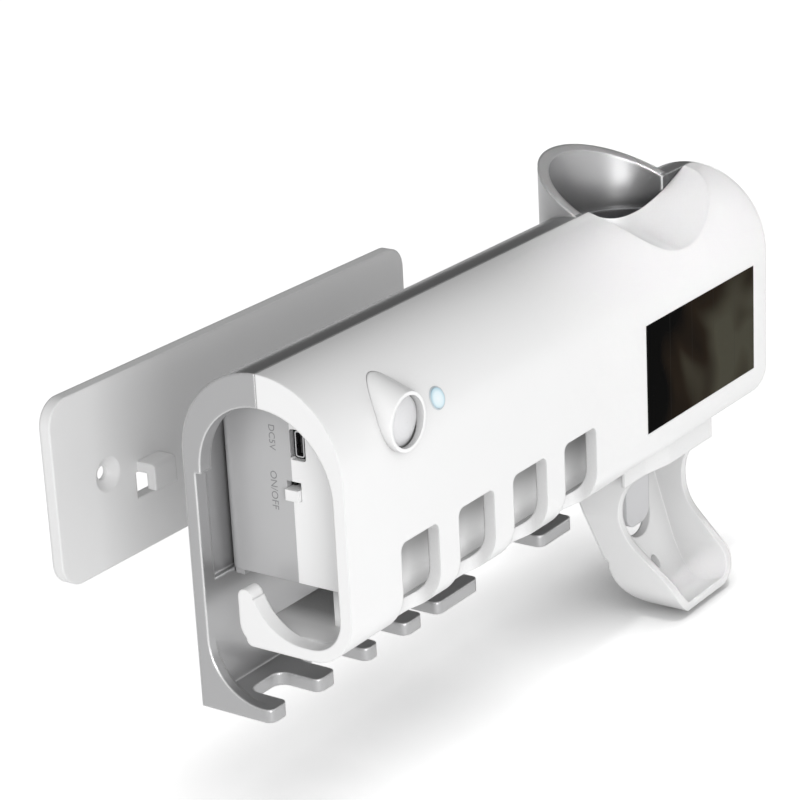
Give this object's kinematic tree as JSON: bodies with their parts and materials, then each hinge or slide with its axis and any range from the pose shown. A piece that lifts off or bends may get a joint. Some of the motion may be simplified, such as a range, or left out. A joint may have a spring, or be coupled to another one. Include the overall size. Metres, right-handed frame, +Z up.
{
  "type": "toothpaste dispenser",
  "caption": "Wall-hung toothpaste dispenser with a squeeze lever, sterilising brush slots, fork shelf, solar panel and a separate hook plate.",
  "frame": {"origin": "centre of the wall plate's back face, midway between its two screw holes", "axes": "+X along the housing toward the tube inlet, -Y out of the wall toward the user, +Z up"},
  "size_m": [0.24, 0.1221, 0.1493],
  "materials": {
    "plate_white": "satin white moulded plastic",
    "cover_white": "smooth gloss white moulded plastic",
    "shell_silver": "silver grey plastic with a fine metallic sheen",
    "socket_grey": "light grey satin plastic",
    "seal_rubber": "soft dark rubber",
    "case_grey": "mid grey satin plastic",
    "lid_white": "white satin plastic",
    "liner_grey": "grey semi-gloss plastic",
    "board_green": "solder-masked glass-fibre board",
    "cell_wrap": "shrink-wrapped cell",
    "cradle_black": "black moulded plastic",
    "usb_steel": "plated steel sheet",
    "usb_black": "black insulator",
    "switch_black": "black moulded plastic",
    "knob_white": "white moulded plastic",
    "bezel_white": "gloss white moulded plastic",
    "lens_milky": "milky thin plastic lens",
    "can_steel": "plated steel can",
    "led_milky": "milky pale blue light guide",
    "solar_glass": "dark glossy cover glass",
    "solar_cells": "black silicon cells on a board",
    "uv_board": "white solder-masked strip",
    "uv_lamp": "clear lamp lenses",
    "pump_grey": "light grey satin plastic",
    "plunger_white": "white satin plastic",
    "spring_steel": "round steel wire",
    "nozzle_grey": "soft light grey plastic",
    "bracket_white": "white satin plastic",
    "pin_steel": "ground steel pin",
    "lever_white": "smooth white moulded plastic",
    "screw_steel": "dark plated steel"
  },
  "bodies": {
    "plate": {"wall_plate": "plate_white"},
    "housing": {"front_cover": "cover_white", "back_shell": "shell_silver", "tube_socket": "socket_grey", "tube_seal": "seal_rubber", "electronics_case": "case_grey", "case_lid": "lid_white", "brush_liner": "liner_grey", "circuit_board": "board_green", "battery_cell": "cell_wrap", "battery_cradle": "cradle_black", "usb_shell": "usb_steel", "usb_tongue": "usb_black", "switch_body": "switch_black", "sensor_bezel": "bezel_white", "sensor_lens": "lens_milky", "sensor_can": "can_steel", "led_lens": "led_milky", "solar_glass": "solar_glass", "solar_cells": "solar_cells", "uv_board": "uv_board", "uv_leds": "uv_lamp", "pump_body": "pump_grey", "plunger_spring": "spring_steel", "outlet_nozzle": "nozzle_grey", "lever_bracket": "bracket_white", "lever_pin": "pin_steel", "case_screws": "screw_steel"},
    "lever": {"squeeze_lever": "lever_white"},
    "plunger": {"pump_plunger": "plunger_white"},
    "knob": {"switch_knob": "knob_white"}
  },
  "joints": [
    {"name": "dock", "type": "slide", "parent": "plate", "child": "housing", "axis": [0, 1, 0], "range_m": [0, 0.0612]},
    {"name": "lever_swing", "type": "hinge", "parent": "housing", "child": "lever", "pos_m": [0.0905, -0.102, -0.0134], "axis": [1, 0, 0], "range_deg": [0, 15], "stiffness_Nm_per_rad": 0.3, "springref_deg": -5.73},
    {"name": "plunger_slide", "type": "slide", "parent": "housing", "child": "plunger", "axis": [0, 0, 1], "range_m": [0, 0.0055], "deforming": ["plunger_spring"]},
    {"name": "switch_slide", "type": "slide", "parent": "housing", "child": "knob", "axis": [0, 0, 1], "range_m": [0, 0.002]}
  ],
  "couplings": [
    {"joint": "plunger_slide", "follows": "lever_swing", "m_per_rad": 0.0186}
  ]
}
